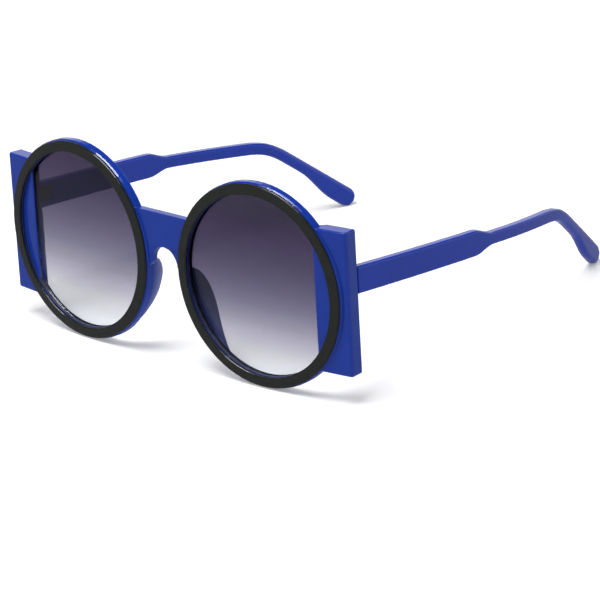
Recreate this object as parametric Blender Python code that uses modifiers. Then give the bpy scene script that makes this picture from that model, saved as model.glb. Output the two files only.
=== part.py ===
"""Round sunglasses with square side wings and folding temples, in metres, +Z up.

Every piece is laid out in the front's own upright frame: X to the wearer's left, Y back
along the temples, Z up, with the origin midway between the rings on the plane of their
front edges. The whole is then leaned back until the rims and temple tips rest on Z = 0.
Pieces are made for the wearer's left and mirrored for the right.
"""

import math

import bmesh
import bpy
from mathutils import Matrix, Vector

# Clearances and shared finish
FIT_GAP = 0.0003
CUT_OVERRUN = 0.002
WELD_DISTANCE = 0.00001
SMOOTH_ANGLE = math.radians(32)
ROUND_STEPS = 72
LENS_STEPS = 60
PIN_STEPS = 24
LEAN_PASSES = 6

# Rims and the black rings on them
RIM_OUTER_R = 0.0323
RIM_WIDTH = 0.0038
RIM_SPACE = 0.0137
RIM_BACK = 0.0038
RIM_EDGE = 0.0004
RIM_INNER_R = RIM_OUTER_R - RIM_WIDTH
RING_SPACING = 2 * RIM_OUTER_R + RIM_SPACE
RING_STEP = 0.0003
RING_LIP = 0.0001
RING_OUTER_R = RIM_OUTER_R - RING_STEP
RING_INNER_R = RIM_INNER_R + RING_LIP
RING_THICKNESS = 0.0006
RING_DISH = 0.0003
RING_EDGE = 0.0002
WRAP_ANGLE = math.radians(3.2)

# Wings, placed by shares of the rim's radius so that their inner corners stay inside the rim
WING_INNER_SHARE = 0.683
WING_TOP_SHARE = 0.683
WING_BOTTOM_SHARE = 0.710
WING_PROUD = 0.0022
WING_INNER_X = RIM_OUTER_R * WING_INNER_SHARE
WING_WIDTH = RIM_OUTER_R + WING_PROUD - WING_INNER_X
WING_TOP = RIM_OUTER_R * WING_TOP_SHARE
WING_BOTTOM = -RIM_OUTER_R * WING_BOTTOM_SHARE
WING_FRONT_Y = 0.00095
WING_THICKNESS = 0.0052
WING_EDGE = 0.0005
WING_ROUND_R = 0.0011
WING_ROUND_STEPS = 4
WING_THIN_WIDTH = 0.0024
WING_THIN_DEPTH = 0.0019
WING_SWEEP = math.radians(3.7)

# Bridge
BRIDGE_FRONT_Y = -0.0005
BRIDGE_THICKNESS = 0.0027
BRIDGE_TOP = 0.0159
BRIDGE_EDGE = 0.0005
ARCH_R = 0.0055
ARCH_CENTRE_Z = -0.00045
ARCH_FOOT_Z = -0.0050
ARC_POINTS = 15
BRIDGE_END_POINTS = 8

# Lenses
LENS_SEAT = 0.0008
LENS_EDGE_R = RIM_INNER_R + LENS_SEAT
LENS_RISE = 0.0006
LENS_SPHERE_R = (LENS_EDGE_R**2 + LENS_RISE**2) / (2 * LENS_RISE)
LENS_FRONT_Y = 0.0013
LENS_THICKNESS = 0.0011
LENS_RINGS = 3

# Nose pads: places down the rim are angles below the ring's centre line
PAD_START = math.radians(0)
PAD_END = math.radians(60)
PAD_HEIGHT = 0.0064
PAD_END_HEIGHT = 0.0005
PAD_ROOT_INSET = 0.0020
PAD_LEAN = 0.0020
PAD_STATIONS = 16
PAD_PEAK_SHARE = 0.33
PAD_END_WIDTH_SHARE = 0.35
# Shares of the way in from the rim's edge and of the height, from the nose side to the lens side
PAD_NOSE_SIDE_SHARES = ((0.0, 0.0), (0.18, 0.40), (0.50, 0.78), (0.84, 0.98))
PAD_LENS_SIDE_SHARES = ((1.0, 0.96), (1.06, 0.76), (0.85, 0.40), (0.0, 0.0))

# Hinges
KNUCKLE_R = 0.0014
KNUCKLE_HEIGHT = 0.0012
SCREW_R = 0.0006
SCREW_HEAD_R = 0.0011
SCREW_HEAD_HEIGHT = 0.0005
SCREW_SLOT_WIDTH = 0.0003
SCREW_SLOT_DEPTH = 0.00025
LEAF_THICKNESS = 0.0008
LEAF_HEIGHT = 0.0044
LEAF_EDGE = 0.00015
FRONT_LEAF_LENGTH = 0.0052
FRONT_LEAF_OFFSET = -0.0010
TEMPLE_LEAF_LENGTH = 0.0090
TEMPLE_LEAF_START = -0.0004
PIN_TO_TEMPLE = 0.0018
HINGE_WEB = 0.0014

# Temples: distances along the temple start at its front end
TEMPLE_THICKNESS = 0.0032
TEMPLE_PROUD = 0.0001
TEMPLE_FRONT_Z = 0.0059
TEMPLE_FRONT_HEIGHT = 0.0085
TEMPLE_STEP_START_HEIGHT = 0.0080
TEMPLE_ARM_HEIGHT = 0.0039
TEMPLE_PADDLE_HEIGHT = 0.0065
TEMPLE_STEP_START = 0.0525
TEMPLE_STEP_LENGTH = 0.0090
TEMPLE_CURL_START = 0.047
TEMPLE_CURL_END = 0.112
TEMPLE_BEND_START = 0.0937
TEMPLE_BEND_LENGTH = 0.0190
TEMPLE_LENGTH = 0.1425
TEMPLE_PADDLE_START = 0.1187
TEMPLE_PADDLE_LENGTH = 0.0158
TEMPLE_PADDLE_DROP_SHARE = 0.5
TEMPLE_TIP_R = 0.0034
TEMPLE_CORNER_R = 0.0006
TEMPLE_TIP_CORNER_R = 0.0012
TEMPLE_HEADING = math.radians(-2.0)
TEMPLE_BOW = math.radians(8.2)
TEMPLE_CURL = math.radians(13.0)
TEMPLE_DROOP = math.radians(3.3)
TEMPLE_ARM_DROOP = math.radians(5.3)
TEMPLE_TIP_DROOP = math.radians(36.8)
FRONT_STATIONS = 11
STEP_STATIONS = 9
ARM_STATIONS = 6
REAR_STATIONS = 22
TIP_STATIONS = 7
TIP_CAP_SHARE = 0.99
CORNER_POINTS = 3

# Colours
BLUE = (0.022, 0.035, 0.36)
BLACK = (0.018, 0.020, 0.018)
LENS_TINT = (0.16, 0.14, 0.20)
STEEL = (0.32, 0.32, 0.34)


def clear_scene():
    for item in list(bpy.data.objects):
        bpy.data.objects.remove(item, do_unlink=True)


def make_collection(name):
    collection = bpy.data.collections.new(name)
    bpy.context.scene.collection.children.link(collection)
    return collection


def make_material(name, colour, roughness, metallic=0.0, alpha=1.0):
    material = bpy.data.materials.new(name)
    material.use_nodes = True
    shader = material.node_tree.nodes["Principled BSDF"]
    shader.inputs["Base Color"].default_value = (*colour, 1.0)
    shader.inputs["Roughness"].default_value = roughness
    shader.inputs["Metallic"].default_value = metallic
    shader.inputs["Alpha"].default_value = alpha
    return material


clear_scene()
PARTS = make_collection("round_sunglasses")
CUTTERS = make_collection("cutters")


def add_object(name, mesh, matrix=None, collection=PARTS):
    item = bpy.data.objects.new(name, mesh)
    collection.objects.link(item)
    if matrix is not None:
        item.matrix_world = matrix
    return item


def add_from_bmesh(name, bm, matrix=None, collection=PARTS):
    mesh = bpy.data.meshes.new(name)
    bm.to_mesh(mesh)
    bm.free()
    return add_object(name, mesh, matrix, collection)


def mark_as_cutter(item):
    for collection in list(item.users_collection):
        collection.objects.unlink(item)
    CUTTERS.objects.link(item)
    item.hide_render = True
    item.display_type = "WIRE"
    return item


def evaluated_mesh(item):
    """The object's mesh with its modifiers, in world space."""
    depsgraph = bpy.context.evaluated_depsgraph_get()
    mesh = bpy.data.meshes.new_from_object(item.evaluated_get(depsgraph))
    mesh.transform(item.matrix_world)
    return mesh


def shade(item):
    item.data.shade_smooth()
    item.data.set_sharp_from_angle(angle=SMOOTH_ANGLE)


def add_bevel(item, width, segments=2):
    bevel = item.modifiers.new("round_edges", "BEVEL")
    bevel.width = width
    bevel.segments = segments
    bevel.limit_method = "ANGLE"


def add_boolean(item, tool, operation):
    boolean = item.modifiers.new(operation.lower() + "_" + tool.name, "BOOLEAN")
    boolean.operation = operation
    boolean.solver = "EXACT"
    boolean.object = mark_as_cutter(tool)


def box(name, low, high, matrix=None):
    """A box between two corners, with its size in the mesh and no object scale."""
    bm = bmesh.new()
    bmesh.ops.create_cube(bm, size=1.0)
    size = Vector(high) - Vector(low)
    centre = (Vector(high) + Vector(low)) / 2
    bmesh.ops.scale(bm, vec=size, verts=bm.verts)
    bmesh.ops.translate(bm, vec=centre, verts=bm.verts)
    return add_from_bmesh(name, bm, matrix)


def cylinder(name, radius, low_z, high_z, matrix=None):
    bm = bmesh.new()
    bmesh.ops.create_cone(
        bm, cap_ends=True, segments=PIN_STEPS, radius1=radius, radius2=radius, depth=high_z - low_z
    )
    bmesh.ops.translate(bm, vec=(0, 0, (low_z + high_z) / 2), verts=bm.verts)
    return add_from_bmesh(name, bm, matrix)


def turned(name, profile, steps, closed, matrix):
    """A profile of (radius, depth) points turned about the Y axis of matrix; depth runs back along Y."""
    bm = bmesh.new()
    verts = [bm.verts.new((radius, 0, -depth)) for radius, depth in profile]
    for first, second in zip(verts, verts[1:]):
        bm.edges.new((first, second))
    if closed:
        bm.edges.new((verts[-1], verts[0]))
    item = add_from_bmesh(name, bm, matrix @ Matrix.Rotation(math.radians(90), 4, "X"))
    screw = item.modifiers.new("turn", "SCREW")
    screw.axis = "Z"
    screw.steps = steps
    screw.render_steps = steps
    screw.use_merge_vertices = True
    screw.merge_threshold = WELD_DISTANCE
    return item


def loft(name, sections):
    """A closed skin through rings of points that all have the same number of points."""
    bm = bmesh.new()
    rings = [[bm.verts.new(point) for point in section] for section in sections]
    for ring, following in zip(rings, rings[1:]):
        for index in range(len(ring)):
            after = (index + 1) % len(ring)
            bm.faces.new((ring[index], ring[after], following[after], following[index]))
    bm.faces.new(list(reversed(rings[0])))
    bm.faces.new(rings[-1])
    bmesh.ops.recalc_face_normals(bm, faces=bm.faces)
    return add_from_bmesh(name, bm)


def fix_mesh(item):
    """Turns an object with modifiers into plain mesh in world space."""
    mesh = evaluated_mesh(item)
    item.modifiers.clear()
    item.data = mesh
    item.matrix_world = Matrix.Identity(4)
    return item


def mirrored(item, name):
    """The wearer's right-hand copy of a left-hand object."""
    depsgraph = bpy.context.evaluated_depsgraph_get()
    bm = bmesh.new()
    bm.from_mesh(bpy.data.meshes.new_from_object(item.evaluated_get(depsgraph)))
    bmesh.ops.scale(bm, vec=(-1, 1, 1), verts=bm.verts)
    bmesh.ops.reverse_faces(bm, faces=bm.faces)
    copy = add_from_bmesh(name, bm)
    copy.data.materials.append(item.data.materials[0])
    shade(copy)
    return copy


# Frames of the left-hand side, within the front's frame
RING_FRAME = Matrix.Translation((RING_SPACING / 2, 0, 0)) @ Matrix.Rotation(WRAP_ANGLE, 4, "Z")
WING_FRAME = (
    RING_FRAME
    @ Matrix.Translation((WING_INNER_X, WING_FRONT_Y, 0))
    @ Matrix.Rotation(WING_SWEEP, 4, "Z")
)
PIN_X = WING_WIDTH + TEMPLE_PROUD - TEMPLE_THICKNESS - PIN_TO_TEMPLE
PIN_Y = WING_THICKNESS + FIT_GAP + KNUCKLE_R
PIN_FRAME = WING_FRAME @ Matrix.Translation((PIN_X, PIN_Y, TEMPLE_FRONT_Z))
PIN_PLACE = PIN_FRAME.translation
TEMPLE_FRAME = Matrix.Translation(PIN_PLACE) @ Matrix.Rotation(TEMPLE_HEADING, 4, "Z")
HINGE_HALF = (3 * KNUCKLE_HEIGHT + 2 * FIT_GAP) / 2


def lens_depth(radius, extra=0.0):
    """Depth of the lens's front sphere at a distance from its axis, moved back by extra."""
    return LENS_FRONT_Y + extra + LENS_SPHERE_R - math.sqrt(LENS_SPHERE_R**2 - radius**2)


def lens_solid(name, margin):
    """The lens, or with a margin the space that it needs, cut straight on the wing's side."""
    edge_r = LENS_EDGE_R + margin
    radii = [edge_r * step / LENS_RINGS for step in range(LENS_RINGS + 1)]
    front = [(radius, lens_depth(radius, -margin)) for radius in radii]
    back = [(radius, lens_depth(radius, LENS_THICKNESS + margin)) for radius in reversed(radii)]
    disc = turned(name, front + back, LENS_STEPS, False, RING_FRAME)
    straight = WING_INNER_X + LENS_SEAT + margin
    trim = box(
        name + "_trim",
        (straight, -CUT_OVERRUN, -RIM_OUTER_R),
        (RIM_OUTER_R + CUT_OVERRUN, RIM_BACK + CUT_OVERRUN, RIM_OUTER_R),
        RING_FRAME,
    )
    add_boolean(disc, trim, "DIFFERENCE")
    return fix_mesh(disc)


def make_rim():
    front = RING_THICKNESS + FIT_GAP
    profile = [
        (RIM_OUTER_R - RIM_EDGE, front),
        (RIM_OUTER_R, front + RIM_EDGE),
        (RIM_OUTER_R, RIM_BACK - RIM_EDGE),
        (RIM_OUTER_R - RIM_EDGE, RIM_BACK),
        (RIM_INNER_R + RIM_EDGE, RIM_BACK),
        (RIM_INNER_R, RIM_BACK - RIM_EDGE),
        (RIM_INNER_R, front - RING_DISH),
    ]
    return turned("front_frame", profile, ROUND_STEPS, True, RING_FRAME)


def make_wing():
    """A square plate, rounder at its outer front edge and thinned at its back beside the lens."""
    outline = [(0, 0)]
    for step in range(WING_ROUND_STEPS + 1):
        angle = math.radians(90) * step / WING_ROUND_STEPS
        x = WING_WIDTH - WING_ROUND_R + WING_ROUND_R * math.sin(angle)
        outline.append((x, WING_ROUND_R - WING_ROUND_R * math.cos(angle)))
    outline.append((WING_WIDTH, WING_THICKNESS))
    outline.append((WING_THIN_WIDTH, WING_THICKNESS))
    outline.append((0, WING_THICKNESS - WING_THIN_DEPTH))
    sections = []
    for z in (WING_BOTTOM, WING_TOP):
        sections.append([WING_FRAME @ Vector((x, y, z)) for x, y in outline])
    wing = loft("wing", sections)
    add_bevel(wing, WING_EDGE)
    return wing


def make_bridge():
    """The flat plate between the rims; its ends lie along the middle of each rim."""
    middle_r = (RIM_OUTER_R + RIM_INNER_R) / 2
    ring_x = RING_SPACING / 2
    top_angle = math.asin(BRIDGE_TOP / middle_r)
    foot_angle = math.asin(ARCH_FOOT_Z / middle_r)
    end_arc = []
    for step in range(BRIDGE_END_POINTS):
        angle = top_angle + (foot_angle - top_angle) * step / (BRIDGE_END_POINTS - 1)
        end_arc.append((ring_x - middle_r * math.cos(angle), middle_r * math.sin(angle)))
    arch = []
    for step in range(ARC_POINTS + 1):
        angle = math.pi * step / ARC_POINTS
        arch.append((ARCH_R * math.cos(angle), ARCH_CENTRE_Z + ARCH_R * math.sin(angle)))
    other_end = [(-x, z) for x, z in reversed(end_arc)]
    outline = end_arc + arch + other_end
    curve = bpy.data.curves.new("bridge", "CURVE")
    curve.dimensions = "2D"
    curve.fill_mode = "BOTH"
    curve.extrude = BRIDGE_THICKNESS / 2
    spline = curve.splines.new("POLY")
    spline.points.add(len(outline) - 1)
    for point, (x, z) in zip(spline.points, outline):
        point.co = (x, z, 0, 1)
    spline.use_cyclic_u = True
    place = Matrix.Translation((0, BRIDGE_FRONT_Y + BRIDGE_THICKNESS / 2, 0))
    flat = add_object("bridge", curve, place @ Matrix.Rotation(math.radians(90), 4, "X"))
    solid = add_object("bridge_plate", evaluated_mesh(flat))
    bpy.data.objects.remove(flat, do_unlink=True)
    bm = bmesh.new()
    bm.from_mesh(solid.data)
    bmesh.ops.remove_doubles(bm, verts=bm.verts, dist=WELD_DISTANCE)
    bm.to_mesh(solid.data)
    bm.free()
    add_bevel(solid, BRIDGE_EDGE)
    return solid


def leaf_pocket_in_wing():
    low_x = FRONT_LEAF_OFFSET - FRONT_LEAF_LENGTH / 2 - FIT_GAP
    high_x = FRONT_LEAF_OFFSET + FRONT_LEAF_LENGTH / 2 + FIT_GAP
    face_y = WING_THICKNESS - PIN_Y
    half_z = LEAF_HEIGHT / 2 + FIT_GAP
    low = (low_x, face_y - LEAF_THICKNESS - FIT_GAP, -half_z)
    high = (high_x, face_y + CUT_OVERRUN, half_z)
    return box("wing_pocket", low, high, PIN_FRAME)


def make_front(material):
    front = make_rim()
    add_boolean(front, make_wing(), "UNION")
    add_boolean(front, make_bridge(), "UNION")
    add_boolean(front, lens_solid("lens_groove", FIT_GAP), "DIFFERENCE")
    add_boolean(front, leaf_pocket_in_wing(), "DIFFERENCE")
    fix_mesh(front)
    mirror = front.modifiers.new("other_half", "MIRROR")
    mirror.use_axis[0] = True
    mirror.use_bisect_axis[0] = True
    mirror.merge_threshold = WELD_DISTANCE
    front.data.materials.clear()
    front.data.materials.append(material)
    shade(front)
    return front


def make_ring(material):
    profile = [
        (RING_OUTER_R - RING_EDGE, 0),
        (RING_OUTER_R, RING_EDGE),
        (RING_OUTER_R, RING_THICKNESS),
        (RING_INNER_R, RING_THICKNESS - RING_DISH),
        (RING_INNER_R, RING_EDGE - RING_DISH),
        (RING_INNER_R + RING_EDGE, -RING_DISH),
    ]
    ring = fix_mesh(turned("black_ring_left", profile, ROUND_STEPS, True, RING_FRAME))
    ring.data.materials.append(material)
    shade(ring)
    return ring


def make_lens(material):
    lens = lens_solid("lens_left", 0.0)
    lens.data.materials.append(material)
    shade(lens)
    return lens


def pad_section(angle, rise, narrowing):
    """Ring of points across the pad, at an angle round the rim; rise and narrowing run from 0 to 1."""
    base = RIM_BACK + FIT_GAP
    height = blend(PAD_END_HEIGHT, PAD_HEIGHT, rise)
    peak = RIM_OUTER_R - PAD_ROOT_INSET - PAD_LEAN * rise
    outer = RIM_OUTER_R - RIM_EDGE
    inner = RIM_INNER_R + RIM_EDGE
    middle = (outer + inner) / 2
    shape = [(blend(outer, peak, inward), base + height * up) for inward, up in PAD_NOSE_SIDE_SHARES]
    shape += [(blend(inner, peak, inward), base + height * up) for inward, up in PAD_LENS_SIDE_SHARES]
    points = []
    for radius, depth in shape:
        r = middle + (radius - middle) * narrowing
        local = Vector((-r * math.cos(angle), depth, -r * math.sin(angle)))
        points.append(RING_FRAME @ local)
    return points


def make_pad(material):
    """A ridge on the rim's back whose sloping outer face bears on the nose."""
    sections = []
    for station in range(PAD_STATIONS):
        share = station / (PAD_STATIONS - 1)
        rise = math.sin(math.pi * share ** (math.log(0.5) / math.log(PAD_PEAK_SHARE)))
        narrowing = blend(PAD_END_WIDTH_SHARE, 1.0, math.sqrt(max(math.sin(math.pi * share), 0.0)))
        angle = PAD_START + (PAD_END - PAD_START) * share
        sections.append(pad_section(angle, max(rise, 0.0), narrowing))
    pad = loft("nose_pad_left", sections)
    pad.data.materials.append(material)
    shade(pad)
    return pad


def knuckle(name, low_z, frame):
    return cylinder(name, KNUCKLE_R, low_z, low_z + KNUCKLE_HEIGHT, frame)


def screw_bore(name):
    reach = HINGE_HALF + CUT_OVERRUN
    return cylinder(name, SCREW_R + FIT_GAP, -reach, reach, PIN_FRAME)


def make_front_leaf(material):
    """A plate let into the wing's back, with an upper and a lower knuckle on the pin."""
    face_y = WING_THICKNESS - PIN_Y
    half_x = FRONT_LEAF_LENGTH / 2
    low = (FRONT_LEAF_OFFSET - half_x, face_y - LEAF_THICKNESS, -LEAF_HEIGHT / 2)
    high = (FRONT_LEAF_OFFSET + half_x, face_y, LEAF_HEIGHT / 2)
    leaf = box("front_hinge_left", low, high, PIN_FRAME)
    add_bevel(leaf, LEAF_EDGE, 1)
    for name, low_z in (("lower", -HINGE_HALF), ("upper", HINGE_HALF - KNUCKLE_HEIGHT)):
        web_low = (-HINGE_WEB / 2, face_y - LEAF_THICKNESS / 2, low_z)
        web_high = (HINGE_WEB / 2, 0, low_z + KNUCKLE_HEIGHT)
        add_boolean(leaf, box(name + "_web", web_low, web_high, PIN_FRAME), "UNION")
        add_boolean(leaf, knuckle(name + "_knuckle", low_z, PIN_FRAME), "UNION")
    add_boolean(leaf, screw_bore("front_leaf_bore"), "DIFFERENCE")
    fix_mesh(leaf)
    leaf.data.materials.clear()
    leaf.data.materials.append(material)
    shade(leaf)
    return leaf


def make_temple_leaf(material):
    """A plate let into the temple's inner face, with one knuckle between the other two."""
    low = (PIN_TO_TEMPLE, TEMPLE_LEAF_START, -LEAF_HEIGHT / 2)
    high = (PIN_TO_TEMPLE + LEAF_THICKNESS, TEMPLE_LEAF_START + TEMPLE_LEAF_LENGTH, LEAF_HEIGHT / 2)
    leaf = box("temple_hinge_left", low, high, TEMPLE_FRAME)
    add_bevel(leaf, LEAF_EDGE, 1)
    web_low = (0, TEMPLE_LEAF_START, -KNUCKLE_HEIGHT / 2)
    web_high = (PIN_TO_TEMPLE + LEAF_THICKNESS / 2, KNUCKLE_R, KNUCKLE_HEIGHT / 2)
    add_boolean(leaf, box("middle_web", web_low, web_high, TEMPLE_FRAME), "UNION")
    add_boolean(leaf, knuckle("middle_knuckle", -KNUCKLE_HEIGHT / 2, TEMPLE_FRAME), "UNION")
    add_boolean(leaf, screw_bore("temple_leaf_bore"), "DIFFERENCE")
    fix_mesh(leaf)
    leaf.data.materials.clear()
    leaf.data.materials.append(material)
    shade(leaf)
    return leaf


def make_screw(material):
    """A slotted screw through the knuckles."""
    screw = cylinder("hinge_screw_left", SCREW_R, -HINGE_HALF, HINGE_HALF + FIT_GAP, PIN_FRAME)
    head_low = HINGE_HALF + FIT_GAP
    head_high = head_low + SCREW_HEAD_HEIGHT
    head = cylinder("screw_head", SCREW_HEAD_R, head_low, head_high, PIN_FRAME)
    slot = box(
        "screw_slot",
        (-SCREW_HEAD_R - CUT_OVERRUN, -SCREW_SLOT_WIDTH / 2, head_high - SCREW_SLOT_DEPTH),
        (SCREW_HEAD_R + CUT_OVERRUN, SCREW_SLOT_WIDTH / 2, head_high + CUT_OVERRUN),
        PIN_FRAME,
    )
    add_boolean(screw, head, "UNION")
    add_boolean(screw, slot, "DIFFERENCE")
    fix_mesh(screw)
    screw.data.materials.clear()
    screw.data.materials.append(material)
    shade(screw)
    return screw


def ease(value):
    """A smooth step from 0 to 1."""
    value = min(max(value, 0.0), 1.0)
    return value * value * (3 - 2 * value)


def blend(start, end, share):
    return start + (end - start) * share


def temple_height(distance):
    """Height of the temple at a distance from its front end, before the tip is rounded."""
    front = blend(TEMPLE_FRONT_HEIGHT, TEMPLE_STEP_START_HEIGHT, min(distance / TEMPLE_STEP_START, 1.0))
    stepped = blend(front, TEMPLE_ARM_HEIGHT, ease((distance - TEMPLE_STEP_START) / TEMPLE_STEP_LENGTH))
    paddle_share = ease((distance - TEMPLE_PADDLE_START) / TEMPLE_PADDLE_LENGTH)
    return blend(stepped, TEMPLE_PADDLE_HEIGHT, paddle_share)


def temple_path(distances):
    """Centre points and section axes of the temple's middle plane, by stepping along it."""
    place = TEMPLE_FRAME @ Vector((PIN_TO_TEMPLE + TEMPLE_THICKNESS / 2, 0, 0))
    start = WING_FRAME @ Vector((0, WING_THICKNESS + FIT_GAP, 0))
    normal = (WING_FRAME.to_3x3() @ Vector((0, 1, 0))).normalized()
    frames = []
    last = 0.0
    for distance in distances:
        curled = min(distance, TEMPLE_CURL_END) - TEMPLE_CURL_START
        curl = TEMPLE_CURL * max(curled, 0.0) / (TEMPLE_CURL_END - TEMPLE_CURL_START)
        heading = TEMPLE_HEADING + TEMPLE_BOW * distance / TEMPLE_LENGTH + curl
        arm_share = ease((distance - TEMPLE_STEP_START) / TEMPLE_STEP_LENGTH)
        bend_share = ease((distance - TEMPLE_BEND_START) / TEMPLE_BEND_LENGTH)
        pitch = blend(blend(TEMPLE_DROOP, TEMPLE_ARM_DROOP, arm_share), TEMPLE_TIP_DROOP, bend_share)
        forward = Vector(
            (
                -math.sin(heading) * math.cos(pitch),
                math.cos(heading) * math.cos(pitch),
                -math.sin(pitch),
            )
        )
        outward = Vector((math.cos(heading), math.sin(heading), 0))
        upward = outward.cross(forward)
        if not frames:
            place = place + forward * ((start - place).dot(normal) / forward.dot(normal))
        place = place + forward * (distance - last)
        last = distance
        frames.append((place.copy(), outward, upward, forward))
    return frames


def end_rounding(to_end, radius):
    """Share of the full size that is left near a round end."""
    short = max(radius - to_end, 0.0) / radius
    return math.sqrt(1 - short**2)


def station_distances():
    """Distances along the temple, closer together at the step and from the bend to the tip."""
    step_end = TEMPLE_STEP_START + TEMPLE_STEP_LENGTH
    round_start = TEMPLE_LENGTH - TEMPLE_TIP_R
    stretches = (
        (0.0, TEMPLE_STEP_START, FRONT_STATIONS),
        (TEMPLE_STEP_START, step_end, STEP_STATIONS),
        (step_end, TEMPLE_BEND_START, ARM_STATIONS),
        (TEMPLE_BEND_START, round_start, REAR_STATIONS),
    )
    distances = []
    for start, end, count in stretches:
        distances += [blend(start, end, step / count) for step in range(count)]
    last_angle = math.asin(TIP_CAP_SHARE)
    for step in range(TIP_STATIONS + 1):
        distances.append(round_start + TEMPLE_TIP_R * math.sin(last_angle * step / TIP_STATIONS))
    return distances


def rounded_section(width, height, corner):
    """Outline of a rectangle with round corners, anticlockwise from the lower right."""
    corner = min(corner, width / 2, height / 2)
    outline = []
    corners = ((1, -1, -90), (1, 1, 0), (-1, 1, 90), (-1, -1, 180))
    for sign_x, sign_z, start in corners:
        for step in range(CORNER_POINTS):
            angle = math.radians(start + 90 * step / (CORNER_POINTS - 1))
            x = sign_x * (width / 2 - corner) + corner * math.cos(angle)
            z = sign_z * (height / 2 - corner) + corner * math.sin(angle)
            outline.append((x, z))
    return outline


def make_temple(material):
    """A loft through rounded sections, from the square front end to the rounded paddle."""
    distances = station_distances()
    sections = []
    normal = (WING_FRAME.to_3x3() @ Vector((0, 1, 0))).normalized()
    for index, (place, outward, upward, forward) in enumerate(temple_path(distances)):
        distance = distances[index]
        to_end = TEMPLE_LENGTH - distance
        share = ease((distance - TEMPLE_BEND_START) / TEMPLE_BEND_LENGTH)
        corner = blend(TEMPLE_CORNER_R, TEMPLE_TIP_CORNER_R, share)
        height = temple_height(distance) * end_rounding(to_end, TEMPLE_TIP_R)
        width = TEMPLE_THICKNESS - 2 * corner * (1 - end_rounding(to_end, corner))
        points = []
        flare = (temple_height(distance) - TEMPLE_ARM_HEIGHT) * TEMPLE_PADDLE_DROP_SHARE
        drop = flare if distance > TEMPLE_PADDLE_START else 0.0
        for x, z in rounded_section(width, height, corner):
            point = place + outward * x + upward * (z - drop)
            if index == 0:
                point = point + forward * ((place - point).dot(normal) / forward.dot(normal))
            points.append(point)
        sections.append(points)
    temple = loft("temple_left", sections)
    pocket = box(
        "temple_pocket",
        (PIN_TO_TEMPLE - CUT_OVERRUN, TEMPLE_LEAF_START - FIT_GAP, -LEAF_HEIGHT / 2 - FIT_GAP),
        (
            PIN_TO_TEMPLE + LEAF_THICKNESS + FIT_GAP,
            TEMPLE_LEAF_START + TEMPLE_LEAF_LENGTH + FIT_GAP,
            LEAF_HEIGHT / 2 + FIT_GAP,
        ),
        TEMPLE_FRAME,
    )
    add_boolean(temple, pocket, "DIFFERENCE")
    fix_mesh(temple)
    temple.data.materials.clear()
    temple.data.materials.append(material)
    shade(temple)
    return temple


def hang_on_pin(item, pin):
    """Puts a moving piece's origin on its hinge axis."""
    item.data.transform(Matrix.Translation(-pin.location))
    item.parent = pin


def lowest(items):
    """The lowest point of some objects under the present pose."""
    bpy.context.view_layer.update()
    points = []
    for item in items:
        points += [item.matrix_world @ vert.co for vert in item.data.vertices]
    return min(points, key=lambda point: point.z)


def rest_on_ground(root, fronts, temples):
    """Leans the glasses back until rims and temple tips touch one level plane."""
    for _ in range(LEAN_PASSES):
        front = lowest(fronts)
        tip = lowest(temples)
        root.rotation_euler.x -= math.atan2(tip.z - front.z, tip.y - front.y)
    root.location.z -= lowest(fronts + temples).z
    bpy.context.view_layer.update()
    ys = []
    for item in fronts + temples:
        ys += [(item.matrix_world @ vert.co).y for vert in item.data.vertices]
    root.location.y -= (min(ys) + max(ys)) / 2
    bpy.context.view_layer.update()


def main():
    blue_front = make_material("blue_front", BLUE, 0.25)
    blue_pad = make_material("blue_pad", BLUE, 0.30)
    blue_temple = make_material("blue_temple", BLUE, 0.25)
    black = make_material("black_ring", BLACK, 0.45)
    tint = make_material("lens_tint", LENS_TINT, 0.05, alpha=0.6)
    leaf_steel = make_material("hinge_leaf_steel", STEEL, 0.35, metallic=1.0)
    screw_steel = make_material("hinge_screw_steel", STEEL, 0.30, metallic=1.0)

    front = make_front(blue_front)
    fixed = [front]
    for left in (
        make_ring(black),
        make_lens(tint),
        make_pad(blue_pad),
        make_front_leaf(leaf_steel),
        make_screw(screw_steel),
    ):
        fixed += [left, mirrored(left, left.name.replace("left", "right"))]
    moving_left = [make_temple(blue_temple), make_temple_leaf(leaf_steel)]
    moving_right = [mirrored(left, left.name.replace("left", "right")) for left in moving_left]

    root = bpy.data.objects.new("glasses", None)
    PARTS.objects.link(root)
    for item in fixed:
        item.parent = root
    for name, sign, pieces in (("left_pin", 1, moving_left), ("right_pin", -1, moving_right)):
        pin = bpy.data.objects.new(name, None)
        PARTS.objects.link(pin)
        pin.location = (sign * PIN_PLACE.x, PIN_PLACE.y, PIN_PLACE.z)
        pin.parent = root
        for item in pieces:
            hang_on_pin(item, pin)
    for cutter in CUTTERS.objects[:]:
        bpy.data.objects.remove(cutter, do_unlink=True)
    rest_on_ground(root, fixed, moving_left + moving_right)


main()
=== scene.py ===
import math

import bmesh
import bpy
from mathutils import Matrix, Vector


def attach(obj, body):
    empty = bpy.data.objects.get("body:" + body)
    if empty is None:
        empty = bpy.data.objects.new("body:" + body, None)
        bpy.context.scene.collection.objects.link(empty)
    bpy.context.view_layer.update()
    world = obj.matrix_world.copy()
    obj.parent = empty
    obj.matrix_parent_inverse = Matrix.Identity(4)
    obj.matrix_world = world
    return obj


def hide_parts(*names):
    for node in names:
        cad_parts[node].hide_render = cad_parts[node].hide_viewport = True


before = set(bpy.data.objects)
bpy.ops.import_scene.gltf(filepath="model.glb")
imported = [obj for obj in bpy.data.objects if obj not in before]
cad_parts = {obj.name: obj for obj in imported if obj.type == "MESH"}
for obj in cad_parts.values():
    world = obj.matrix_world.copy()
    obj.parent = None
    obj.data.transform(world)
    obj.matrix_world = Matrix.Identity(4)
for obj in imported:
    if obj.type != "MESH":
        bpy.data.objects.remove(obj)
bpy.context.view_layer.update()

# How the front stands in the world: it leans back until rims and tips touch the floor
LEAN = math.radians(-1.7812)
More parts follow.
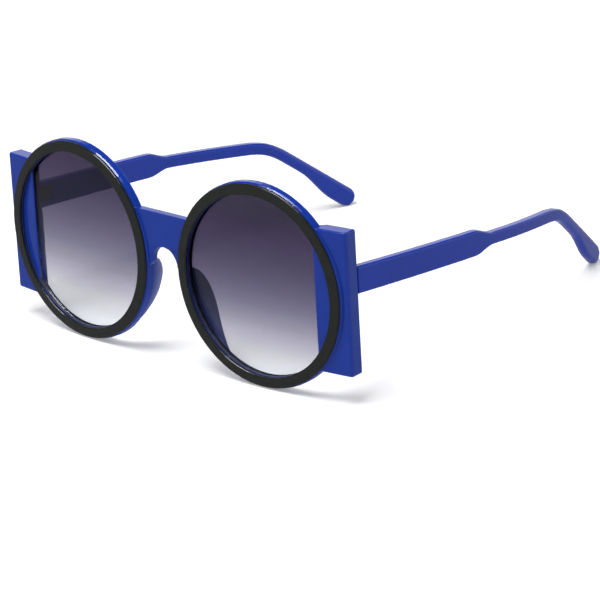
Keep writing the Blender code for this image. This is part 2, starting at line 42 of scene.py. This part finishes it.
PLACE = Vector((0.0, -0.0690944, 0.0323899))
STAND = Matrix.Translation(PLACE) @ Matrix.Rotation(LEAN, 4, "X")

# Axis of the wearer's left ring in the front's own upright frame; the right one mirrors it
RING_CENTRE_X = 0.03915
RING_TURN = math.radians(3.2)
RING_FRAME = Matrix.Translation((RING_CENTRE_X, 0, 0)) @ Matrix.Rotation(RING_TURN, 4, "Z")

# Radii from that axis, and depths behind the ring's front face
RING_OUTER_R = 0.0320
RING_INNER_R = 0.0286
RIM_OUTER_R = 0.0323
RIM_INNER_R = 0.0285
RIM_BACK = 0.0038
GROOVE_R = 0.0297
GROOVE_FRONT = 0.0009
GROOVE_BACK = 0.0033

# Camera, given in the front's own upright frame
VIEW_AZIMUTH = 0.7806
VIEW_ELEVATION = 0.3325
VIEW_ROLL = -0.0568
VIEW_DISTANCE = 1.083057
VIEW_TARGET = Vector((0.0570975, 0.0, -0.000614))
FOCAL_PIXELS = 3659.3947
FRAME_PIXELS = 600
SENSOR = 36.0
CLIP_NEAR = 0.05
CLIP_FAR = 20.0


def make_camera():
    back = Vector(
        (
            math.sin(VIEW_AZIMUTH) * math.cos(VIEW_ELEVATION),
            -math.cos(VIEW_AZIMUTH) * math.cos(VIEW_ELEVATION),
            math.sin(VIEW_ELEVATION),
        )
    )
    right = (-back).cross(Vector((0, 0, 1))).normalized()
    up = right.cross(-back)
    cosine, sine = math.cos(VIEW_ROLL), math.sin(VIEW_ROLL)
    rolled_right = cosine * right + sine * up
    rolled_up = -sine * right + cosine * up
    turn = Matrix((rolled_right, rolled_up, back)).transposed().to_4x4()
    place = Matrix.Translation(VIEW_TARGET + VIEW_DISTANCE * back)
    data = bpy.data.cameras.new("view")
    data.sensor_width = SENSOR
    data.lens = FOCAL_PIXELS * SENSOR / FRAME_PIXELS
    data.clip_start = CLIP_NEAR
    data.clip_end = CLIP_FAR
    camera = bpy.data.objects.new("view", data)
    bpy.context.scene.collection.objects.link(camera)
    camera.matrix_world = STAND @ place @ turn
    bpy.context.scene.camera = camera


class Tree:
    """Short ways to build a node tree. A value is a socket, a number or a colour."""

    def __init__(self, tree):
        self.tree = tree

    def add(self, kind, **values):
        node = self.tree.nodes.new(kind)
        for key, value in values.items():
            setattr(node, key, value)
        return node

    def join(self, source, target):
        self.tree.links.new(source, target)

    def feed(self, value, socket):
        if isinstance(value, float):
            socket.default_value = value
        elif isinstance(value, tuple):
            socket.default_value = (*value, 1.0)
        else:
            self.join(value, socket)

    def math(self, operation, first, second=0.0, clamp=False):
        node = self.add("ShaderNodeMath", operation=operation, use_clamp=clamp)
        self.feed(first, node.inputs[0])
        self.feed(second, node.inputs[1])
        return node.outputs[0]

    def span(self, value, before, after=(0.0, 1.0), kind="LINEAR"):
        """The value carried from one range to another, and held at the ends."""
        node = self.add("ShaderNodeMapRange", interpolation_type=kind)
        for key, number in zip(("From Min", "From Max", "To Min", "To Max"), (*before, *after)):
            node.inputs[key].default_value = number
        self.join(value, node.inputs["Value"])
        return node.outputs["Result"]

    def band(self, value, low, high, blur):
        """One between two values, nought outside, with soft ends."""
        rise = self.span(value, (low - blur, low))
        fall = self.span(value, (high, high + blur), (1.0, 0.0))
        return self.math("MULTIPLY", rise, fall)

    def split(self, vector):
        node = self.add("ShaderNodeSeparateXYZ")
        self.join(vector, node.inputs["Vector"])
        return node.outputs["X"], node.outputs["Y"], node.outputs["Z"]

    def mix(self, share, first, second):
        node = self.add("ShaderNodeMix", data_type="RGBA")
        self.join(share, node.inputs["Factor"])
        self.feed(first, node.inputs[6])
        self.feed(second, node.inputs[7])
        return node.outputs[2]

    def mix_shaders(self, share, first, second):
        node = self.add("ShaderNodeMixShader")
        for source, socket in zip((share, first, second), node.inputs):
            self.join(source, socket)
        return node.outputs[0]

    def ray_shares(self):
        """One for rays that see straight or through a lens, and one for rays off a glossy surface."""
        rays = self.add("ShaderNodeLightPath").outputs
        through = rays["Is Transmission Ray"]
        seen = self.math("MAXIMUM", rays["Is Camera Ray"], through)
        mirrored = self.math("SUBTRACT", rays["Is Glossy Ray"], through, clamp=True)
        return seen, mirrored


# A mottled surface has its first colour below the low share of the noise, its second above the high
MOTTLE_LOW = 0.3
MOTTLE_HIGH = 0.7
RELIEF_HEIGHT = 0.000003
EDGE_SAMPLES = 6


class Finish(Tree):
    """A material, with its Principled shader. Named values are the shader's own inputs."""

    def __init__(self, name, **values):
        self.material = bpy.data.materials.new(name)
        self.material.use_nodes = True
        super().__init__(self.material.node_tree)
        self.shader = self.tree.nodes["Principled BSDF"]
        for key, value in values.items():
            self.shader.inputs[key.replace("_", " ")].default_value = value

    def coat(self, colour, roughness):
        self.join(colour, self.shader.inputs["Base Color"])
        self.join(roughness, self.shader.inputs["Roughness"])

    def object_position(self):
        return self.add("ShaderNodeTexCoord").outputs["Object"]

    def noise(self, scale, detail=2.0):
        node = self.add("ShaderNodeTexNoise")
        node.inputs["Scale"].default_value = scale
        node.inputs["Detail"].default_value = detail
        self.join(self.object_position(), node.inputs["Vector"])
        return node.outputs["Fac"]

    def grain(self, scale, limits, detail=2.0):
        """Noise between two limits."""
        return self.span(self.noise(scale, detail), (0.0, 1.0), limits)

    def mottle(self, scale, colours):
        """Two close colours, blended by noise."""
        return self.ramp(self.noise(scale), zip((MOTTLE_LOW, MOTTLE_HIGH), colours))

    def ramp(self, value, stops):
        node = self.add("ShaderNodeValToRGB")
        elements = node.color_ramp.elements
        while len(elements) > 1:
            elements.remove(elements[-1])
        for index, (place, colour) in enumerate(stops):
            element = elements[0] if index == 0 else elements.new(place)
            element.position = place
            element.color = (*colour, 1.0)
        self.join(value, node.inputs["Fac"])
        return node.outputs["Color"]

    def relief(self, scale, detail=2.0, edge=0.0, where=None):
        """Fine bumps, and edges that shine as if rounded to a radius, everywhere or by a share."""
        node = self.add("ShaderNodeBump")
        node.inputs["Distance"].default_value = RELIEF_HEIGHT
        self.join(self.noise(scale, detail), node.inputs["Height"])
        if edge:
            rounded = self.add("ShaderNodeBevel", samples=EDGE_SAMPLES)
            rounded.inputs["Radius"].default_value = edge
            normal = rounded.outputs["Normal"]
            if where is not None:
                plain = self.add("ShaderNodeNewGeometry").outputs["Normal"]
                normal = self.mix(where, plain, normal)
            self.join(normal, node.inputs["Normal"])
        self.join(node.outputs["Normal"], self.shader.inputs["Normal"])

    def ring_place(self):
        """Distance from the axis of the nearer ring, and depth behind that ring's front."""
        sideways, back, up = self.split(self.object_position())
        folded = self.add("ShaderNodeCombineXYZ")
        for source, socket in zip((self.math("ABSOLUTE", sideways), back, up), folded.inputs):
            self.join(source, socket)
        local = self.add("ShaderNodeMapping", vector_type="TEXTURE")
        ring = STAND @ RING_FRAME
        local.inputs["Location"].default_value = ring.translation
        local.inputs["Rotation"].default_value = ring.to_euler()
        self.join(folded.outputs["Vector"], local.inputs["Vector"])
        across, depth, along = self.split(local.outputs["Vector"])
        squares = [self.math("MULTIPLY", side, side) for side in (across, along)]
        return self.math("SQRT", self.math("ADD", *squares)), depth


BLUE_IOR = 1.5
# One blue plastic in two copies: the front's copy is darker than the temples', as painted shade that tones
# down the light the lamps give the front faces
BLUE_FRONT_SHADED = ((0.0062, 0.034, 0.297), (0.0070, 0.037, 0.322))
BLUE_TEMPLE = ((0.0062, 0.034, 0.345), (0.0070, 0.037, 0.375))
# Painted shade: a dark navy for the wall of the lens groove, where shade falls
BLUE_GROOVE_PAINTED_SHADE = (0.0035, 0.005, 0.035)
BLUE_MOTTLE = 60.0
BLUE_GRAIN = 120.0
BLUE_ROUGHNESS = (0.10, 0.12)
FRONT_EDGE = 0.0003
TEMPLE_EDGE = 0.0005

# The front's edges look rounded only above this height and past this distance from the middle
ROUNDED_ABOVE = 0.045
ROUNDED_ABOVE_BLUR = 0.002
ROUNDED_PAST = 0.060
ROUNDED_PAST_BLUR = 0.001
BEYOND_ALL = 1.0

# Duller than the rest: the chamfer round the ring, and the wall of the lens groove, whose colour also gets
# painted shade (a dark navy)
ZONE_BLUR = 0.0001
GROOVE_BLUR = 0.0005
GROOVE_MARGIN = 0.0001
GROOVE_DULLED = 0.45
SEAM_MARGIN = 0.0002
SEAM_DEPTHS = (-0.001, 0.0005)
SEAM_DULLED = 0.12


def blue_plastic(name, colours, edge):
    finish = Finish(name, IOR=BLUE_IOR)
    finish.coat(finish.mottle(BLUE_MOTTLE, colours), finish.grain(BLUE_GRAIN, BLUE_ROUGHNESS))
    finish.relief(BLUE_GRAIN, edge=edge)
    return finish.material


def front_plastic(name):
    """The same blue, with the zones of the front's own rims and edges, and painted shade on the wall of
    the lens groove.
    """
    finish = Finish(name, IOR=BLUE_IOR)
    radius, depth = finish.ring_place()

    def zone(radii, depths, blur):
        around = finish.band(radius, *radii, ZONE_BLUR)
        return finish.math("MULTIPLY", around, finish.band(depth, *depths, blur))

    groove_shade = zone((RIM_INNER_R - GROOVE_MARGIN, GROOVE_R), (GROOVE_FRONT, GROOVE_BACK), GROOVE_BLUR)
    seam = zone((RING_OUTER_R - SEAM_MARGIN, RIM_OUTER_R), SEAM_DEPTHS, ZONE_BLUR)
    roughness = finish.grain(BLUE_GRAIN, BLUE_ROUGHNESS)
    for place, dulled in ((seam, SEAM_DULLED), (groove_shade, GROOVE_DULLED)):
        roughness = finish.math("ADD", roughness, finish.math("MULTIPLY", place, dulled))
    # Painted shade: the lens groove's wall is mixed to the dark navy
    finish.coat(finish.mix(groove_shade, finish.mottle(BLUE_MOTTLE, BLUE_FRONT_SHADED), BLUE_GROOVE_PAINTED_SHADE), roughness)

    sideways, _, height = finish.split(finish.object_position())
    high = finish.band(height, ROUNDED_ABOVE, BEYOND_ALL, ROUNDED_ABOVE_BLUR)
    wide = finish.band(finish.math("ABSOLUTE", sideways), ROUNDED_PAST, BEYOND_ALL, ROUNDED_PAST_BLUR)
    finish.relief(BLUE_GRAIN, edge=FRONT_EDGE, where=finish.math("MAXIMUM", high, wide))
    return finish.material


# Painted light on the pads: painted shade on the side facing the lens, and a painted pale sheen towards
# the free edge on the side facing the nose
PAD_PAINTED_SHADE = (0.020, 0.042, 0.185)
PAD_PAINTED_SHEEN = (0.170, 0.215, 0.470)
PAD_SHEEN_REACH = 0.006
PAD_SHADE_TO_SHEEN = (0.2, -0.5)
PAD_GRAIN = 900.0
PAD_ROUGHNESS = (0.16, 0.26)
PAD_RELIEF = 350.0


def pad_plastic(name):
    """Blue with painted light: a painted pale sheen towards the free edge on the side that faces the nose,
    and painted shade on the side that faces the lens.
    """
    finish = Finish(name, IOR=BLUE_IOR)
    _, depth = finish.ring_place()
    sideways, _, _ = finish.split(finish.object_position())
    facing, _, _ = finish.split(finish.add("ShaderNodeTexCoord").outputs["Normal"])
    outwards = finish.math("MULTIPLY", finish.math("SIGN", sideways), facing)
    # Share of painted sheen against painted shade, by which way the surface faces
    sheen_share = finish.span(outwards, PAD_SHADE_TO_SHEEN)
    sheen_to_edge = finish.span(depth, (RIM_BACK, RIM_BACK + PAD_SHEEN_REACH))
    sheened_blue = finish.mix(sheen_to_edge, finish.mottle(BLUE_MOTTLE, BLUE_FRONT_SHADED), PAD_PAINTED_SHEEN)
    finish.coat(finish.mix(sheen_share, PAD_PAINTED_SHADE, sheened_blue), finish.grain(PAD_GRAIN, PAD_ROUGHNESS))
    finish.relief(PAD_RELIEF)
    return finish.material


BLACK_IOR = 1.38
BLACK = ((0.0140, 0.0160, 0.0145), (0.0170, 0.0190, 0.0170))
BLACK_MOTTLE = 500.0
BLACK_GRAIN = 120.0
BLACK_ROUGHNESS = (0.27, 0.31)
BLACK_RELIEF = 4000.0
BLACK_RELIEF_DETAIL = 3.0
BLACK_EDGE = 0.0003
RING_EDGE_WIDTH = 0.0004
RING_EDGE_POLISHED = 0.16


def black_plastic(name):
    """Satin black, smoother and rounded at the rings' two edges."""
    finish = Finish(name, IOR=BLACK_IOR)
    radius, _ = finish.ring_place()
    flat = finish.band(radius, RING_INNER_R + RING_EDGE_WIDTH, RING_OUTER_R - RING_EDGE_WIDTH, ZONE_BLUR)
    edges = finish.math("SUBTRACT", 1.0, flat)
    polished = finish.math("MULTIPLY", edges, RING_EDGE_POLISHED)
    roughness = finish.math("SUBTRACT", finish.grain(BLACK_GRAIN, BLACK_ROUGHNESS), polished)
    finish.coat(finish.mottle(BLACK_MOTTLE, BLACK), roughness)
    finish.relief(BLACK_RELIEF, BLACK_RELIEF_DETAIL, BLACK_EDGE, edges)
    return finish.material


# The lens's colour, by height above the ring's centre in metres. The lowest stops are darker than the tint
# alone, as painted shade for the floor's shadow seen through the lens
TINT = (
    (0.027, (0.028, 0.023, 0.046)),
    (0.022, (0.034, 0.024, 0.057)),
    (0.017, (0.046, 0.034, 0.078)),
    (0.012, (0.056, 0.047, 0.092)),
    (0.007, (0.077, 0.066, 0.120)),
    (0.002, (0.109, 0.098, 0.162)),
    (-0.0034, (0.161, 0.152, 0.218)),
    (-0.0086, (0.260, 0.250, 0.318)),
    (-0.0138, (0.410, 0.402, 0.474)),
    (-0.0190, (0.570, 0.576, 0.596)),
    (-0.0242, (0.630, 0.652, 0.668)),
    (-0.0290, (0.650, 0.676, 0.692)),
)
TINT_SPAN = 0.080
LENS_IOR = 1.45
LENS_GRAIN = 40.0
LENS_ROUGHNESS = (0.0, 0.01)


def lens_glass(name, shift, stretch):
    """Clear plastic with a tint that fades downwards; shift moves the fade up, stretch makes it longer."""
    finish = Finish(name, IOR=LENS_IOR, Transmission_Weight=1.0)
    _, _, height = finish.split(finish.object_position())
    middle = PLACE.z + shift
    half = stretch * TINT_SPAN / 2
    fade = finish.span(height, (middle - half, middle + half))
    stops = [(up / TINT_SPAN + 0.5, colour) for up, colour in reversed(TINT)]
    finish.coat(finish.ramp(fade, stops), finish.grain(LENS_GRAIN, LENS_ROUGHNESS))
    return finish.material


STEEL = ((0.045, 0.046, 0.062), (0.075, 0.076, 0.092))
STEEL_MOTTLE = 800.0
STEEL_GRAIN = 2500.0
STEEL_GRAIN_DETAIL = 4.0
STEEL_ROUGHNESS = (0.25, 0.42)
STEEL_RELIEF = 6000.0


def steel(name):
    finish = Finish(name, Metallic=1.0)
    roughness = finish.grain(STEEL_GRAIN, STEEL_ROUGHNESS, STEEL_GRAIN_DETAIL)
    finish.coat(finish.mottle(STEEL_MOTTLE, STEEL), roughness)
    finish.relief(STEEL_RELIEF)
    return finish.material


def both(name):
    return f"{name}_left", f"{name}_right"


def dress(material, *names):
    for name in names:
        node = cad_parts[name]
        node.data.materials.clear()
        node.data.materials.append(material)


# Points of a pad that lie this near to the rim's back are let into it
PAD_ROOT = 0.0004
PAD_SINK = 0.0003


def seat_pad(name, material):
    """The nose pad with its root let into the back of the rim, so that no seam is open."""
    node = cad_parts[name]
    pad = node.copy()
    pad.data = node.data.copy()
    pad.name = name.replace("nose_pad", "seated_pad")
    bpy.context.scene.collection.objects.link(pad)
    side = 1 if name.endswith("left") else -1
    mirror = Matrix.Diagonal((side, 1, 1, 1))
    ring = STAND @ mirror @ RING_FRAME @ mirror
    inwards = ring.inverted() @ pad.matrix_world
    outwards = inwards.inverted()
    for vert in pad.data.vertices:
        local = inwards @ vert.co
        if local.y < RIM_BACK + PAD_ROOT:
            local.y = RIM_BACK - PAD_SINK
            vert.co = outwards @ local
    for face in pad.data.polygons:
        face.use_smooth = True
    pad.data.materials.clear()
    pad.data.materials.append(material)
    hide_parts(name)
    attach(pad, "front")


# The world's strength, and what glossy surfaces see of it by direction
WORLD_LIGHT = 0.43
REFLECTED_TOP = 0.03
REFLECTED_TOP_RISE = (0.22, 0.56)
REFLECTED_FRONT = 0.30
REFLECTED_FRONT_RISE = (-0.3, 0.3)


def make_world():
    """Even light, seen as a white backdrop; in reflections it is darker overhead and in front."""
    world = bpy.data.worlds.new("studio")
    bpy.context.scene.world = world
    world.use_nodes = True
    world.node_tree.nodes.clear()
    nodes = Tree(world.node_tree)

    def background(strength):
        node = nodes.add("ShaderNodeBackground")
        node.inputs["Color"].default_value = (1.0, 1.0, 1.0, 1.0)
        nodes.feed(strength, node.inputs["Strength"])
        return node.outputs[0]

    _, back, up = nodes.split(nodes.add("ShaderNodeTexCoord").outputs["Generated"])
    by_height = nodes.span(up, REFLECTED_TOP_RISE, (1.0, REFLECTED_TOP), "SMOOTHSTEP")
    by_depth = nodes.span(back, REFLECTED_FRONT_RISE, (REFLECTED_FRONT, 1.0), "SMOOTHSTEP")
    reflected = background(nodes.math("MULTIPLY", by_height, by_depth))
    seen, mirrored = nodes.ray_shares()
    direct = nodes.mix_shaders(seen, background(WORLD_LIGHT), background(1.0))
    surface = nodes.mix_shaders(mirrored, direct, reflected)
    nodes.join(surface, nodes.add("ShaderNodeOutputWorld").inputs["Surface"])


FLOOR_SIZE = 3.0
FLOOR_COLOUR = 0.84
FLOOR_ROUGHNESS = 0.9

# The floor's glow for the camera grows from the near distance to the far one
FLOOR_GLOW = 0.24
FLOOR_NEAR = 0.12
FLOOR_FAR = 0.9

# What glossy surfaces see of the floor, in front of the glasses and behind
FLOOR_REFLECTED_FRONT = 0.30
FLOOR_REFLECTED_BACK = 0.50
FLOOR_REFLECTED_RISE = (-0.1, 0.1)


def floor_finish():
    finish = Finish(
        "floor",
        Base_Color=(FLOOR_COLOUR, FLOOR_COLOUR, FLOOR_COLOUR, 1.0),
        Roughness=FLOOR_ROUGHNESS,
        Specular_IOR_Level=0.0,
        Emission_Color=(1.0, 1.0, 1.0, 1.0),
    )
    seen, mirrored = finish.ray_shares()
    reach = finish.add("ShaderNodeVectorMath", operation="LENGTH")
    finish.join(finish.object_position(), reach.inputs[0])
    glow = finish.span(reach.outputs["Value"], (FLOOR_NEAR, FLOOR_FAR), (FLOOR_GLOW, 1.0), "SMOOTHSTEP")
    finish.join(finish.math("MULTIPLY", seen, glow), finish.shader.inputs["Emission Strength"])
    _, back, _ = finish.split(finish.object_position())
    reflected = finish.add("ShaderNodeEmission")
    strength = finish.span(back, FLOOR_REFLECTED_RISE, (FLOOR_REFLECTED_FRONT, FLOOR_REFLECTED_BACK))
    finish.join(strength, reflected.inputs["Strength"])
    surface = finish.mix_shaders(mirrored, finish.shader.outputs["BSDF"], reflected.outputs[0])
    finish.join(surface, finish.tree.nodes["Material Output"].inputs["Surface"])
    return finish.material


def make_floor():
    """Pale floor that reads as white where nothing shades it."""
    bm = bmesh.new()
    bmesh.ops.create_grid(bm, x_segments=1, y_segments=1, size=FLOOR_SIZE)
    mesh = bpy.data.meshes.new("floor")
    bm.to_mesh(mesh)
    bm.free()
    floor = bpy.data.objects.new("floor", mesh)
    bpy.context.scene.collection.objects.link(floor)
    floor.data.materials.append(floor_finish())


def make_lamp(name, place, target, width, height, power, only_shine=False):
    data = bpy.data.lights.new(name, "AREA")
    data.shape = "RECTANGLE"
    data.size = width
    data.size_y = height
    data.energy = power
    lamp = bpy.data.objects.new(name, data)
    bpy.context.scene.collection.objects.link(lamp)
    lamp.location = place
    lamp.visible_camera = False
    lamp.visible_diffuse = not only_shine
    aim = Vector(target) - Vector(place)
    lamp.rotation_euler = aim.to_track_quat("-Z", "Y").to_euler()


make_camera()
make_world()
make_floor()
make_lamp("overhead", place=(0.0, -0.235, 0.76), target=(0, 0, 0.02), width=0.45, height=0.45, power=5.8)
make_lamp(
    "front_softbox",
    place=(-0.15, -0.53, 0.70),
    target=(0, -0.07, 0.05),
    width=0.45,
    height=0.18,
    power=5.4,
    only_shine=True,
)

dress(front_plastic("polished_blue_front"), "front_frame")
pad_blue_painted_light = pad_plastic("blue_pads_painted_sheen_and_shade")
for name in both("nose_pad"):
    seat_pad(name, pad_blue_painted_light)
dress(blue_plastic("polished_blue_temples", BLUE_TEMPLE, TEMPLE_EDGE), *both("temple"))
dress(black_plastic("satin_black"), *both("black_ring"))
dress(lens_glass("graduated_lens_left", shift=-0.0036, stretch=1.0), "lens_left")
dress(lens_glass("graduated_lens_right", shift=0.0020, stretch=1.1), "lens_right")
for name in both("lens"):
    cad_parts[name].visible_shadow = False
dress(steel("brushed_steel"), *both("front_hinge"), *both("temple_hinge"), *both("hinge_screw"))
bpy.context.scene.view_settings.view_transform = "Standard"
